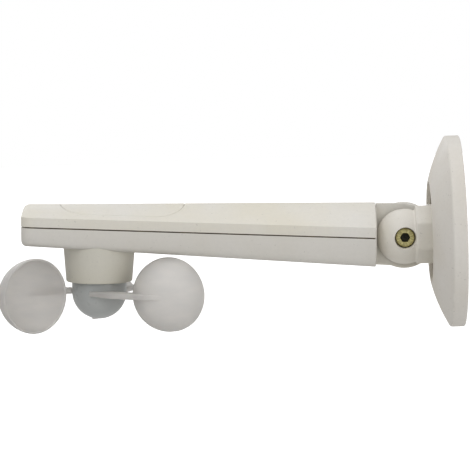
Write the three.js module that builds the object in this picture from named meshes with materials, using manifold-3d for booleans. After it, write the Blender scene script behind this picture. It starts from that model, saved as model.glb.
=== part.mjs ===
// Cup anemometer for a wall: a wedge-shaped arm on a tilting wall bracket, with a three-cup rotor
// that hangs under the arm's free end and turns on two ball bearings.
// Millimetres, +Z up. The origin is the centre of the wall face, the wall is on the +X side and
// the arm points to -X. The arm has a frame of its own: u runs from the tilt axis to the tip.
import * as THREE from 'three';
import { mergeVertices } from 'three/addons/utils/BufferGeometryUtils.js';
import Module from 'manifold-3d';

const wasm = await Module();
wasm.setup();

// ---------------------------------------------------------------- driving dimensions
const GAP = 0.3; // clearance between separate pieces that touch
const WALL = 2; // thickness of the moulded shells

// wall base
const COVER_R = 43;
const COVER_RIM = 6.3; // straight height of the cover's rim
const COVER_BULGE = 0.9; // how far the cover's cone is domed
const COVER_DEPTH = 14.4; // wall to the cover's front edge
const OPENING_R = 22.5; // round opening in the cover
const COVER_WALL = 1.8;
const PLATE_T = 3;
const PLATE_R = 40.3;
const PLATE_LIP = 3.9; // height of the centring lip round the plate
const PLATE_HOLE_R = 2.6;
const PLATE_SINK_R = 4.94; // countersink at the plate's face
const PLATE_HOLE_AT = 32.5;
const FOOT_R = 25; // swivel foot of the bracket, held behind the cover
const FOOT_FRONT = 10.3;

// tilt hinge
const HINGE_X = -25.7;
const HINGE_Z = -1.5;
const KNUCKLE_R = 12.6;
const NECK_HALF_HEIGHT = 13;
const NECK_HALF_FLAT = 5.85;
const NECK_CHAMFER_Y = 4.5;
const NECK_START = 5; // from the tilt axis towards the wall
const NECK_RISE = 0.7; // the neck's middle above the tilt axis
const CHEEK_R = 14.6;
const CHEEK_Y = 13.4;
const SWEEP_R = 16.9; // room in the neck for the cheek and the arm's far side as they tilt
const PARTING = 0.8; // hinge faces, each side of the middle plane
const COUNTERBORE_R = 4.75;
const SCREW_R = 2.4;
const SCREW_HEAD_R = 4.25;
const SCREW_HEAD_TOP = 7.6;
const SCREW_HEAD_H = 4.2;
const SCREW_TIP = 12.4;
const HEX_KEY = 4; // across flats of the screw's socket
const HEX_DEPTH = 2.6;
const NUT_FLATS = 8;
const NUT_T = 4;
const NUT_FRONT = CHEEK_Y - 0.8;
const DISC_R = 11;

// arm, at its wall end and at its tip
const REST_TILT = THREE.MathUtils.degToRad(2); // tip slightly raised
const U_END = 13.2;
const U_TIP = 171.5;
const ARM_TOP = [15.3, 14.4];
const ARM_CREASE = [4.9, 9.8];
const ARM_SPLIT = [0.1, 5.3];
const ARM_BOTTOM = [-13, -3.4];
const ARM_HALF_WIDTH = [14, 17.5];
const CROWN_POWER = 1.35;
const HULL_POWER = 8;
const TIP_ROUND_SIDE = 4.5;
const TIP_ROUND_TOP = 3;
const TIP_ROUND_BOTTOM = 2;
const SPLIT_GAP = 0.5;

// battery lid on the arm's top
const LID_U = 126.7;
const LID_LENGTH = 56;
const LID_WIDTH = 25.4;
const LID_SKIN = 0.9;
const LID_LEDGE = 1.3;
const LEDGE_WIDTH = 1.6; // how far the ledge under the lid's edge reaches in
const SKIRT_T = 1.2; // the lid's locating skirt

// rotor
const ROTOR_U = 137.3;
const SOCKET_TOP_R = 16.35;
const SOCKET_BOTTOM_R = 14.87;
const SOCKET_BOTTOM = -20.35;
const SPIGOT_R = 9.5;
const HUB_R = 12.3;
const HUB_TOP = -18.4;
const DOME_CENTRE = -25.06;
const HUB_WALL = 1.4;
const SHAFT_R = 1.5;
const BEARING_R = 3.5;
const BEARING_T = 3;
const BEARING_AT = [-5.6, -14.6]; // top face of each bearing
const SENSOR_AT = 7.4; // centre of the pulse sensor, off the rotor's axis
const CUP_COUNT = 3;
const CUP_ORBIT = 34.65;
const CUP_R = 16.8;
const CUP_WALL = 1.1;
const CUP_Z = -25;
const FIRST_CUP_ANGLE = THREE.MathUtils.degToRad(-21.5);
const BLADE_T = 2.4;
const BLADE_OUT = 17.4; // outer edge of an arm blade, off the cup's radial line
const BLADE_IN = 8.4;

const ROUND = 24; // segments round a turned piece

// ---------------------------------------------------------------- materials
const COLOURS = {
  shell: [0xdedad3, 0.55, 0],
  base: [0xd5d1ca, 0.6, 0],
  cup: [0xd2d1cd, 0.45, 0],
  hub: [0x8f908e, 0.35, 0],
  seal: [0x2b2620, 0.9, 0],
  steel: [0xb9bcbf, 0.3, 1],
  zinc: [0x9a9060, 0.45, 1],
  board: [0x1f6b3a, 0.6, 0],
  battery: [0x3a4a5a, 0.4, 0.2],
  magnet: [0x2f2f31, 0.5, 0.3],
  inner: [0xbfbcb5, 0.7, 0],
};

// ---------------------------------------------------------------- helpers
function solid(geometry) {
  const bare = geometry.clone();
  bare.deleteAttribute('normal');
  bare.deleteAttribute('uv');
  const merged = mergeVertices(bare, 1e-4);
  const mesh = new wasm.Mesh({
    numProp: 3,
    vertProperties: new Float32Array(merged.attributes.position.array),
    triVerts: new Uint32Array(merged.index.array),
  });
  return new wasm.Manifold(mesh);
}

function geometryOf(body) {
  const mesh = body.getMesh();
  const geometry = new THREE.BufferGeometry();
  geometry.setAttribute('position', new THREE.BufferAttribute(mesh.vertProperties, 3));
  geometry.setIndex(new THREE.BufferAttribute(mesh.triVerts, 1));
  geometry.computeVertexNormals();
  return geometry;
}

function addPiece(group, name, body, look) {
  const [color, roughness, metalness] = COLOURS[look];
  const material = new THREE.MeshStandardMaterial({ color, roughness, metalness });
  const mesh = new THREE.Mesh(geometryOf(body), material);
  mesh.name = name;
  group.add(mesh);
  return mesh;
}

// A body turned about Z from (radius, height) points, which start and end on the axis.
function turned(points, segments = ROUND) {
  const profile = points.map(([r, h]) => new THREE.Vector2(r, h));
  return new THREE.LatheGeometry(profile, segments).rotateX(Math.PI / 2);
}

function discGeometry(radius, from, to, segments = ROUND) {
  return turned([[0, from], [radius, from], [radius, to], [0, to]], segments);
}

function disc(radius, from, to, segments = ROUND) {
  return solid(discGeometry(radius, from, to, segments));
}

// The same turned pieces with their axis along the wall's normal, depth measured off the wall.
function wallTurned(points, segments = ROUND) {
  return solid(turned(points, segments).rotateY(-Math.PI / 2));
}

function wallDisc(radius, from, to, segments = ROUND) {
  return wallTurned([[0, from], [radius, from], [radius, to], [0, to]], segments);
}

// A disc across the arm, from y = from to y = to.
function crossDisc(radius, from, to, segments = ROUND) {
  return solid(discGeometry(radius, -to, -from, segments).rotateX(Math.PI / 2));
}

function box(x, y, z) {
  const size = [x, y, z].map(([a, b]) => b - a);
  const centre = [x, y, z].map(([a, b]) => (a + b) / 2);
  return solid(new THREE.BoxGeometry(...size).translate(...centre));
}

function prism(points, from, to) {
  const shape = new THREE.Shape(points.map(([x, y]) => new THREE.Vector2(x, y)));
  const geometry = new THREE.ExtrudeGeometry(shape, { depth: to - from, bevelEnabled: false });
  return solid(geometry.translate(0, 0, from));
}

function arc(cx, cy, radius, fromDeg, toDeg, steps) {
  return Array.from({ length: steps + 1 }, (_, i) => {
    const a = THREE.MathUtils.degToRad(fromDeg + ((toDeg - fromDeg) * i) / steps);
    return [cx + radius * Math.cos(a), cy + radius * Math.sin(a)];
  });
}

function stadium(u, length, width) {
  const r = width / 2;
  const half = length / 2 - r;
  return [...arc(-u + half, 0, r, -90, 90, 12), ...arc(-u - half, 0, r, 90, 270, 12)];
}

function hexagon(acrossFlats) {
  const r = acrossFlats / Math.sqrt(3);
  return arc(0, 0, r, 0, 300, 5);
}

// ---------------------------------------------------------------- the arm's section
function along([atEnd, atTip], u) {
  return atEnd + ((atTip - atEnd) * (u - U_END)) / (U_TIP - U_END);
}

function tipRound(u, radius) {
  const past = u - (U_TIP - radius);
  if (past <= 0) return 0;
  return radius - Math.sqrt(Math.max(radius * radius - past * past, 0));
}

function sectionAt(u, inset) {
  return {
    half: along(ARM_HALF_WIDTH, u) - inset - tipRound(u + inset, TIP_ROUND_SIDE),
    top: along(ARM_TOP, u) - inset - tipRound(u + inset, TIP_ROUND_TOP),
    crease: along(ARM_CREASE, u) - inset * 0.3,
    split: along(ARM_SPLIT, u),
    bottom: along(ARM_BOTTOM, u) + inset + tipRound(u + inset, TIP_ROUND_BOTTOM),
  };
}

// Level -1 is the bottom, 0 the split, 1 the crease and 2 the top of the crown.
function heightAt(section, level) {
  if (level > 1) return section.crease + (level - 1) * (section.top - section.crease);
  if (level > 0) return section.split + level * (section.crease - section.split);
  return section.split + level * (section.split - section.bottom);
}

const HALF_STEPS = 5;
const across = Array.from({ length: 2 * HALF_STEPS + 1 }, (_, i) => 1 - i / HALF_STEPS);
const crown = across.map((s) => [s, 2 - Math.abs(s) ** CROWN_POWER]);
const hull = Array.from({ length: 2 * HALF_STEPS + 1 }, (_, i) => {
  const a = Math.PI + (Math.PI * i) / (2 * HALF_STEPS);
  const spread = (v) => Math.sign(v) * Math.abs(v) ** (2 / HULL_POWER);
  return [spread(Math.cos(a)), spread(Math.sin(a))];
});
const UPPER = [[1, 0], ...crown, [-1, 0]];
const LOWER = hull;
const WHOLE = [...crown, ...hull];

function stations(from, to) {
  const list = [from];
  const steps = Math.max(1, Math.round((to - from) / 40));
  const straightEnd = Math.min(to, U_TIP - TIP_ROUND_SIDE);
  for (let i = 1; i <= steps; i += 1) list.push(from + ((straightEnd - from) * i) / steps);
  for (const left of [3, 1.6, 0.7, 0.2, 0]) {
    if (to - left > straightEnd + 0.05) list.push(to - left);
  }
  return list;
}

// A body with the arm's changing section between two places along it, inset from its skin.
function armBody(outline, from, to, inset = 0) {
  const places = stations(from, to);
  const shape = new THREE.Shape(outline.map(([s, q]) => new THREE.Vector2(s, q)));
  const steps = places.length - 1;
  const geometry = new THREE.ExtrudeGeometry(shape, { depth: 1, steps, bevelEnabled: false });
  const position = geometry.attributes.position;
  for (let i = 0; i < position.count; i += 1) {
    const u = places[Math.round(position.getZ(i) * steps)];
    const section = sectionAt(u, inset);
    const y = -position.getX(i) * section.half;
    position.setXYZ(i, -u, y, heightAt(section, position.getY(i)));
  }
  return solid(geometry);
}

function shellSide(outline, keepAbove) {
  const skin = armBody(outline, U_END, U_TIP);
  const inside = armBody(WHOLE, U_END - 1, U_TIP - WALL, WALL);
  return skin.subtract(inside).subtract(splitSlot(keepAbove));
}

// A thin wedge along the split, which leaves the two shells apart by the split gap.
function splitSlot(above) {
  const low = above ? -3 : -SPLIT_GAP / 2;
  const high = above ? SPLIT_GAP / 2 : 3;
  const at = (u) => along(ARM_SPLIT, u);
  const from = U_END - 5;
  const to = U_TIP + 5;
  const side = [[-from, at(from) + low], [-from, at(from) + high],
    [-to, at(to) + high], [-to, at(to) + low]];
  const shape = new THREE.Shape(side.map(([x, z]) => new THREE.Vector2(x, z)));
  const geometry = new THREE.ExtrudeGeometry(shape, { depth: 60, bevelEnabled: false });
  return solid(geometry.translate(0, 0, -30).rotateX(Math.PI / 2));
}

// ---------------------------------------------------------------- wall base
function wallPlate() {
  let plate = wallDisc(PLATE_R, 0, PLATE_T, 40);
  const lip = wallDisc(PLATE_R, PLATE_T - 1, PLATE_LIP, 40);
  plate = plate.add(lip.subtract(wallDisc(PLATE_R - 2, PLATE_T - 2, PLATE_LIP + 1, 40)));
  for (const angle of [45, 135, 225, 315]) {
    const a = THREE.MathUtils.degToRad(angle);
    const hole = turned([[0, -1], [PLATE_HOLE_R, -1], [PLATE_HOLE_R, 1.4],
      [PLATE_SINK_R, PLATE_T + 0.1], [0, PLATE_T + 0.1]], 16).rotateY(-Math.PI / 2);
    hole.translate(0, PLATE_HOLE_AT * Math.cos(a), PLATE_HOLE_AT * Math.sin(a));
    plate = plate.subtract(solid(hole));
  }
  return plate;
}

// A point on the cover's domed front, from its rim (share 0) to its opening (share 1).
function coverFront(share) {
  const bulge = 4 * COVER_BULGE * share * (1 - share);
  return [COVER_R + (OPENING_R - COVER_R) * share,
    COVER_RIM + (COVER_DEPTH - COVER_RIM) * share + bulge];
}

function rosetteCover() {
  const slope = (COVER_DEPTH - COVER_RIM) / (COVER_R - OPENING_R);
  const lift = COVER_WALL * Math.hypot(1, slope);
  const inner = COVER_R - COVER_WALL;
  const innerFront = COVER_DEPTH - lift;
  const rimInside = COVER_RIM - lift + COVER_WALL * slope;
  const rim = [[inner, 0], [COVER_R - 0.6, 0], [COVER_R, 0.6], [COVER_R, COVER_RIM - 0.6]];
  const front = [0.04, 0.3, 0.5, 0.75, 0.96].map(coverFront);
  const opening = [[OPENING_R, COVER_DEPTH - 0.6], [OPENING_R, innerFront]];
  return wallTurned([...rim, ...front, ...opening, [inner, rimInside], [inner, 0]], 48);
}

// ---------------------------------------------------------------- bracket and hinge
function neck() {
  const [h, f, c] = [NECK_HALF_HEIGHT, NECK_HALF_FLAT, NECK_CHAMFER_Y];
  const face = KNUCKLE_R - 0.1;
  const points = [[-face, -f], [-c, -h], [c, -h], [face, -f], [face, f], [c, h], [-c, h],
    [-face, f]];
  const shape = new THREE.Shape(points.map(([y, z]) => new THREE.Vector2(y, z)));
  const start = HINGE_X + NECK_START;
  const depth = 2 - start - FOOT_FRONT;
  const geometry = new THREE.ExtrudeGeometry(shape, { depth, bevelEnabled: false });
  const turn = new THREE.Matrix4().makeBasis(new THREE.Vector3(0, 1, 0),
    new THREE.Vector3(0, 0, 1), new THREE.Vector3(1, 0, 0));
  return solid(geometry.applyMatrix4(turn).translate(start, 0, HINGE_Z + NECK_RISE));
}

function atHinge(body) {
  return solid(geometryOf(body).translate(HINGE_X, 0, HINGE_Z));
}

function pivotBracket() {
  const foot = wallTurned([[0, PLATE_T + GAP], [FOOT_R, PLATE_T + GAP],
    [FOOT_R, FOOT_FRONT - 0.8], [FOOT_R - 1.5, FOOT_FRONT], [0, FOOT_FRONT]], 48);
  const ball = solid(new THREE.SphereGeometry(KNUCKLE_R, 28, 18).rotateX(Math.PI / 2)
    .translate(HINGE_X, 0, HINGE_Z));
  const nearHalf = box([-60, 0], [-40, -PARTING], [-40, 40]);
  let body = neck().add(ball).intersect(nearHalf).add(foot);
  const farNeck = neck().intersect(box([-60, 0], [-PARTING - 0.1, 40], [-40, 40]));
  const sweep = atHinge(crossDisc(SWEEP_R, -PARTING, 20, 48));
  const beyondAxis = box([-60, HINGE_X + 8], [-PARTING, 40], [-40, 40]);
  body = body.add(farNeck.subtract(sweep).subtract(beyondAxis));
  const counterbore = crossDisc(COUNTERBORE_R, -20, -SCREW_HEAD_TOP + SCREW_HEAD_H + GAP);
  const bore = crossDisc(SCREW_R + GAP, -20, 5);
  return body.subtract(atHinge(counterbore)).subtract(atHinge(bore));
}

function hingeScrew() {
  const seat = -SCREW_HEAD_TOP + SCREW_HEAD_H;
  const head = crossDisc(SCREW_HEAD_R, -SCREW_HEAD_TOP, seat);
  const shank = crossDisc(SCREW_R, seat - 1, SCREW_TIP, 16);
  const socket = new THREE.Shape(hexagon(HEX_KEY).map(([x, z]) => new THREE.Vector2(x, z)));
  const cut = new THREE.ExtrudeGeometry(socket, { depth: 5, bevelEnabled: false });
  cut.rotateX(Math.PI / 2).translate(0, -SCREW_HEAD_TOP + HEX_DEPTH, 0);
  return head.add(shank).subtract(solid(cut));
}

function hingeNut() {
  const shape = new THREE.Shape(hexagon(NUT_FLATS).map(([x, z]) => new THREE.Vector2(x, z)));
  const nut = new THREE.ExtrudeGeometry(shape, { depth: NUT_T, bevelEnabled: false });
  nut.rotateX(Math.PI / 2).translate(0, NUT_FRONT, 0);
  return solid(nut).subtract(crossDisc(SCREW_R + GAP, 0, 20, 16));
}

function frictionDisc() {
  const half = PARTING - GAP;
  return crossDisc(DISC_R, -half, half).subtract(crossDisc(SCREW_R + GAP, -2, 2, 16));
}

function hingeBlock() {
  const farSide = box([-U_END + GAP, 1], [PARTING, 30], [-40, 40]);
  const root = armBody(WHOLE, -1, U_END + 1).intersect(farSide);
  const clear = box([-U_END + GAP, 40], [0, 30], [-40, 40]);
  const cheek = crossDisc(CHEEK_R, PARTING, CHEEK_Y, 48).intersect(clear);
  const plug = armBody(WHOLE, U_END - 0.4, U_END + 6, WALL + GAP);
  const corners = hexagon(NUT_FLATS + 2 * GAP);
  const nutPocket = new THREE.Shape(corners.map(([x, z]) => new THREE.Vector2(x, z)));
  const pocketDepth = NUT_T + 10;
  const pocket = new THREE.ExtrudeGeometry(nutPocket, { depth: pocketDepth, bevelEnabled: false });
  pocket.rotateX(Math.PI / 2).translate(0, NUT_FRONT - NUT_T - GAP + pocketDepth, 0);
  const bore = crossDisc(SCREW_R + GAP, 0, 20, 16);
  return root.add(cheek).add(plug).subtract(solid(pocket)).subtract(bore);
}

// ---------------------------------------------------------------- arm shells
const CASE_SCREWS = [[36, 7.5], [36, -7.5], [90, 8.5], [90, -8.5], [164.5, 0]];
const CASE_SCREW_R = 1.3;
const CASE_HEAD_R = 2.5;
const POST_R = 3;
const SEAT_DEPTH = 2.6;
const THREAD_DEPTH = 2.6; // of a case screw in the upper shell's post
const TALL = 30;

function post(u, y, radius, from, to, segments = 16) {
  return solid(discGeometry(radius, from, to, segments).translate(-u, y, 0));
}

function hoodAbove(u, y, radius, inset) {
  const column = post(u, y, radius, along(ARM_SPLIT, u) - 1, TALL);
  return column.intersect(armBody(WHOLE, U_END, U_TIP, inset));
}

function lidPrism(grow) {
  return prism(stadium(LID_U, LID_LENGTH + 2 * grow, LID_WIDTH + 2 * grow), 0, TALL);
}

function lidSkin(inset) {
  return armBody(UPPER, U_END, U_TIP, -0.2).subtract(armBody(WHOLE, U_END - 1, U_TIP, inset));
}

function upperShell() {
  let shell = shellSide(UPPER, true);
  for (const [u, y] of CASE_SCREWS) {
    shell = shell.add(hoodAbove(u, y, POST_R, WALL / 2).subtract(splitSlot(true)));
  }
  shell = shell.subtract(lidPrism(0).intersect(lidSkin(LID_LEDGE)));
  shell = shell.subtract(lidPrism(-LEDGE_WIDTH));
  for (const [u, y] of CASE_SCREWS) {
    shell = shell.subtract(post(u, y, CASE_SCREW_R + GAP, -TALL, along(ARM_SPLIT, u) + THREAD_DEPTH + 0.6));
  }
  return shell;
}

function lid() {
  const skin = armBody(UPPER, U_END, U_TIP).subtract(armBody(WHOLE, U_END - 1, U_TIP, LID_SKIN));
  const frame = armBody(UPPER, U_END, U_TIP, LID_SKIN / 2)
    .subtract(armBody(WHOLE, U_END - 1, U_TIP, WALL + 0.6));
  const outside = lidPrism(-LEDGE_WIDTH - GAP);
  const skirt = outside.subtract(lidPrism(-LEDGE_WIDTH - SKIRT_T - GAP)).intersect(frame);
  return lidPrism(-GAP / 2).intersect(skin).add(skirt);
}

function lowerShell() {
  let shell = shellSide(LOWER, false);
  for (const [u, y] of CASE_SCREWS) {
    const top = along(ARM_SPLIT, u) - SPLIT_GAP / 2;
    shell = shell.add(post(u, y, POST_R + 0.6, -TALL, top)
      .intersect(armBody(LOWER, U_END, U_TIP, WALL / 2)));
    shell = shell.subtract(post(u, y, CASE_SCREW_R + GAP, -TALL, TALL));
    shell = shell.subtract(post(u, y, CASE_HEAD_R + GAP, -TALL, screwSeat(u)));
  }
  return shell.subtract(post(ROTOR_U, 0, SPIGOT_R + GAP, -TALL, 0, ROUND));
}

function screwSeat(u) {
  return along(ARM_BOTTOM, u) + SEAT_DEPTH;
}

function caseScrew(u, y) {
  const seat = screwSeat(u) - GAP;
  const head = post(u, y, CASE_HEAD_R, seat - 1.6, seat, 20);
  const recess = [0, 90].map((turnBy) => solid(new THREE.BoxGeometry(3, 0.7, 2)
    .rotateZ(THREE.MathUtils.degToRad(turnBy)).translate(-u, y, seat - 1.6)));
  const shank = post(u, y, CASE_SCREW_R, seat - 0.5, along(ARM_SPLIT, u) + THREAD_DEPTH, 12);
  return head.add(shank).subtract(recess[0]).subtract(recess[1]);
}

function caseSeal() {
  const band = (inset) => armBody(WHOLE, U_END + 7, U_TIP - WALL - inset, WALL + inset);
  const ring = band(GAP).subtract(armBody(WHOLE, U_END + 8.2, U_TIP - WALL - 1.5, WALL + 1.5));
  const at = (u) => along(ARM_SPLIT, u);
  const side = [[-U_END, at(U_END) - 1], [-U_END, at(U_END) + 1],
    [-U_TIP, at(U_TIP) + 1], [-U_TIP, at(U_TIP) - 1]];
  const shape = new THREE.Shape(side.map(([x, z]) => new THREE.Vector2(x, z)));
  const layer = new THREE.ExtrudeGeometry(shape, { depth: 60, bevelEnabled: false });
  let seal = ring.intersect(solid(layer.translate(0, 0, -30).rotateX(Math.PI / 2)));
  for (const [u, y] of CASE_SCREWS) seal = seal.subtract(post(u, y, POST_R + 1, -TALL, TALL));
  return seal;
}

// ---------------------------------------------------------------- inside the arm
const CELL_R = 5.1;
const CELL_TIP_R = 1.9;
const CELL_LENGTH = 43.5;
const CELL_Y = 5.6;
const CELL_Z = 5;
const TRAY_U = [101, 153];
const TRAY_HALF = 12;
const TRAY_FLOOR = -1.9;

function cell(side) {
  const points = [[0, 0], [CELL_R, 0], [CELL_R, CELL_LENGTH - 0.8], [CELL_TIP_R, CELL_LENGTH - 0.8],
    [CELL_TIP_R, CELL_LENGTH], [0, CELL_LENGTH]];
  const flip = side > 0 ? 1 : -1;
  const body = turned(points, 20).rotateY((flip * Math.PI) / 2);
  return solid(body.translate(-LID_U - (flip * CELL_LENGTH) / 2, side * CELL_Y, CELL_Z));
}

function batteryTray() {
  const [from, to] = TRAY_U;
  let tray = box([-to, -from], [-TRAY_HALF, TRAY_HALF], [TRAY_FLOOR, CELL_Z]);
  for (const side of [-1, 1]) {
    const bed = turned([[0, 0], [CELL_R + GAP, 0], [CELL_R + GAP, CELL_LENGTH + 5],
      [0, CELL_LENGTH + 5]], 24).rotateY(Math.PI / 2);
    const bedCut = solid(bed.translate(-LID_U - CELL_LENGTH / 2 - 2.5, side * CELL_Y, CELL_Z));
    tray = tray.subtract(bedCut);
  }
  return tray.intersect(armBody(WHOLE, U_END, U_TIP, WALL + 2));
}

function springContact(side) {
  const u = LID_U + side * (CELL_LENGTH / 2 + 1.3);
  const coil = turned([[0, -0.5], [2.6, -0.5], [1.4, 0.6], [0, 0.6]], 16);
  coil.rotateY(((side > 0 ? 1 : -1) * Math.PI) / 2);
  return solid(coil.translate(-u, side * CELL_Y, CELL_Z));
}

const BOARD_U = [42, 84];
const BOARD_WIDTH = 20;
const BOARD_T = 1.6;
const BOARD_DROP = 2.4; // board's underside below the split

function circuitBoard() {
  const at = (u) => along(ARM_SPLIT, u) - BOARD_DROP;
  const [from, to] = BOARD_U;
  const side = [[-from, at(from)], [-from, at(from) + BOARD_T], [-to, at(to) + BOARD_T],
    [-to, at(to)]];
  const shape = new THREE.Shape(side.map(([x, z]) => new THREE.Vector2(x, z)));
  const board = new THREE.ExtrudeGeometry(shape, { depth: BOARD_WIDTH, bevelEnabled: false });
  return solid(board.translate(0, 0, -BOARD_WIDTH / 2).rotateX(Math.PI / 2));
}

function onBoard(u, length, width, height, y = 0) {
  const slopeRoom = 1.2; // the board rises towards the tip under a level part
  const floor = along(ARM_SPLIT, u - length / 2) - BOARD_DROP + BOARD_T + GAP + slopeRoom;
  return box([-u - length / 2, -u + length / 2], [y - width / 2, y + width / 2],
    [floor, floor + height]);
}

// ---------------------------------------------------------------- rotor socket and rotor
function rotorSocket() {
  const cone = turned([[0, SOCKET_BOTTOM], [SOCKET_BOTTOM_R, SOCKET_BOTTOM],
    [SOCKET_TOP_R, -1], [0, -1]], 36);
  const spigot = disc(SPIGOT_R, -8, -2.6, ROUND);
  const underside = atRotor(armBody(WHOLE, U_END, U_TIP, -GAP));
  let body = solid(cone).subtract(underside).add(spigot);
  body = body.subtract(disc(HUB_R + 0.9, SOCKET_BOTTOM - 1, HUB_TOP + 0.8, 36));
  body = body.subtract(disc(BEARING_R + GAP, BEARING_AT[1] - BEARING_T - 6, BEARING_AT[1] + GAP));
  body = body.subtract(disc(BEARING_R + GAP, BEARING_AT[0] - BEARING_T, 0));
  body = body.subtract(sensorBlock(GAP));
  return body.subtract(disc(SHAFT_R + 0.8, -30, 0));
}

// The sensor that counts the magnet's turns sits in a pocket in the socket's roof.
function sensorBlock(grow = 0) {
  const below = grow > 0 ? 1 : 0;
  return box([SENSOR_AT - 1.7 - grow, SENSOR_AT + 1.7 + grow], [-1.7 - grow, 1.7 + grow],
    [HUB_TOP + 0.9 - below, HUB_TOP + 2.2 + grow]);
}

function atRotor(body) {
  return solid(geometryOf(body).translate(ROTOR_U, 0, 0));
}

function bearing(top) {
  const outer = disc(BEARING_R, top - BEARING_T, top, 24);
  return outer.subtract(disc(SHAFT_R + GAP, top - BEARING_T - 1, top + 1, 16));
}

function rotorShaft() {
  return disc(SHAFT_R, DOME_CENTRE - 5, BEARING_AT[0] + 1.6, 16);
}

function shaftClip() {
  const z = BEARING_AT[1] - BEARING_T - GAP;
  return disc(SHAFT_R + 1.6, z - 0.6, z, 20).subtract(disc(SHAFT_R + GAP, z - 2, z + 2, 16));
}

function domeArc(radius, steps) {
  return arc(0, DOME_CENTRE, radius, -90, 0, steps);
}

function rotorHub() {
  const inner = HUB_R - HUB_WALL;
  const outside = [...domeArc(HUB_R, 7), [HUB_R, HUB_TOP]];
  const inside = [[inner, HUB_TOP], ...domeArc(inner, 5).reverse()];
  outside[0][0] = 0;
  inside[inside.length - 1][0] = 0;
  const shell = solid(turned([...outside, ...inside], 32));
  const boss = disc(3.2, DOME_CENTRE - inner - 0.5, DOME_CENTRE + 1.2, 20);
  return shell.add(boss).subtract(disc(SHAFT_R + GAP, DOME_CENTRE - 5 - GAP, 0, 16));
}

function ringMagnet() {
  const top = HUB_TOP - 1.2;
  return disc(8, top - 3, top, 28).subtract(disc(SHAFT_R + GAP, top - 5, top + 1, 16));
}

function capArc(radius, steps) {
  const points = arc(0, 0, radius, 0, 90, steps);
  points[steps][0] = 0;
  return points;
}

// A half-sphere cup about its own centre: its apex points to -Y and its open side to +Y.
function cupShell() {
  const outer = capArc(CUP_R, 7);
  const inner = capArc(CUP_R - CUP_WALL, 6);
  const profile = [...inner.reverse(), ...outer];
  return solid(turned(profile).rotateX(Math.PI / 2));
}

function armBlade() {
  const far = CUP_ORBIT + 5.5;
  const bladeOutline = [[0.5, -HUB_R - 0.2], [5, -13.6], [9.2, -16], [13.5, -BLADE_OUT],
    [CUP_ORBIT, -BLADE_OUT], [far, -CUP_R + 1], [far - 2, -CUP_R + 5], [CUP_ORBIT - 8, -7],
    [CUP_ORBIT - 15, -BLADE_IN], [14, -BLADE_IN], [8, -7], [5, -5]];
  const blade = prism(bladeOutline, -BLADE_T / 2, BLADE_T / 2);
  const hub = disc(HUB_R + GAP, -5, 5, 32);
  const bowl = new THREE.SphereGeometry(CUP_R - CUP_WALL / 2, 24, 14).rotateX(Math.PI / 2);
  return blade.subtract(hub).subtract(solid(bowl.translate(CUP_ORBIT, 0, 0)));
}

function rotorCup(index) {
  const cup = solid(geometryOf(cupShell()).translate(CUP_ORBIT, 0, 0));
  const angle = FIRST_CUP_ANGLE + (index * 2 * Math.PI) / CUP_COUNT;
  return solid(geometryOf(cup.add(armBlade())).rotateZ(angle).translate(0, 0, CUP_Z));
}

// ---------------------------------------------------------------- assembly
const root = new THREE.Group();
addPiece(root, 'wall_plate', wallPlate(), 'base');
addPiece(root, 'rosette_cover', rosetteCover(), 'base');
addPiece(root, 'pivot_bracket', pivotBracket(), 'shell');

const arm = new THREE.Group();
arm.position.set(HINGE_X, 0, HINGE_Z);
arm.rotation.y = REST_TILT;
root.add(arm);
addPiece(arm, 'hinge_screw', hingeScrew(), 'zinc');
addPiece(arm, 'hinge_nut', hingeNut(), 'steel');
addPiece(arm, 'friction_disc', frictionDisc(), 'seal');
addPiece(arm, 'hinge_block', hingeBlock(), 'shell');
addPiece(arm, 'upper_shell', upperShell(), 'shell');
addPiece(arm, 'lower_shell', lowerShell(), 'shell');
addPiece(arm, 'battery_lid', lid(), 'shell');
addPiece(arm, 'case_seal', caseSeal(), 'seal');
CASE_SCREWS.forEach(([u, y], i) => {
  addPiece(arm, `case_screw_${i + 1}`, caseScrew(u, y), 'steel');
});
addPiece(arm, 'battery_tray', batteryTray(), 'inner');
addPiece(arm, 'battery_near', cell(-1), 'battery');
addPiece(arm, 'battery_far', cell(1), 'battery');
addPiece(arm, 'spring_contact_near', springContact(-1), 'steel');
addPiece(arm, 'spring_contact_far', springContact(1), 'steel');
addPiece(arm, 'circuit_board', circuitBoard(), 'board');
addPiece(arm, 'radio_module', onBoard(54, 12, 10, 2.2), 'steel');
addPiece(arm, 'processor', onBoard(70, 7, 7, 1.4), 'magnet');

const socketGroup = new THREE.Group();
socketGroup.position.x = -ROTOR_U;
arm.add(socketGroup);
addPiece(socketGroup, 'rotor_socket', rotorSocket(), 'base');
addPiece(socketGroup, 'pulse_sensor', sensorBlock(), 'magnet');
addPiece(socketGroup, 'bearing_upper', bearing(BEARING_AT[0]), 'steel');
addPiece(socketGroup, 'bearing_lower', bearing(BEARING_AT[1]), 'steel');

const rotor = new THREE.Group();
socketGroup.add(rotor);
addPiece(rotor, 'rotor_shaft', rotorShaft(), 'steel');
addPiece(rotor, 'shaft_clip', shaftClip(), 'steel');
addPiece(rotor, 'rotor_hub', rotorHub(), 'hub');
addPiece(rotor, 'ring_magnet', ringMagnet(), 'magnet');
for (let i = 0; i < CUP_COUNT; i += 1) {
  addPiece(rotor, `cup_${i + 1}`, rotorCup(i), 'cup');
}

export default root;
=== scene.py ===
# Looks for a wall-mounted cup anemometer. Shapes are worked out in millimetres and stored in metres,
# in the frame of the CAD model. The arm has a frame of its own: u runs from the tilt axis to the tip.
import math

import bmesh
import bpy
from mathutils import Matrix, Vector


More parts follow.
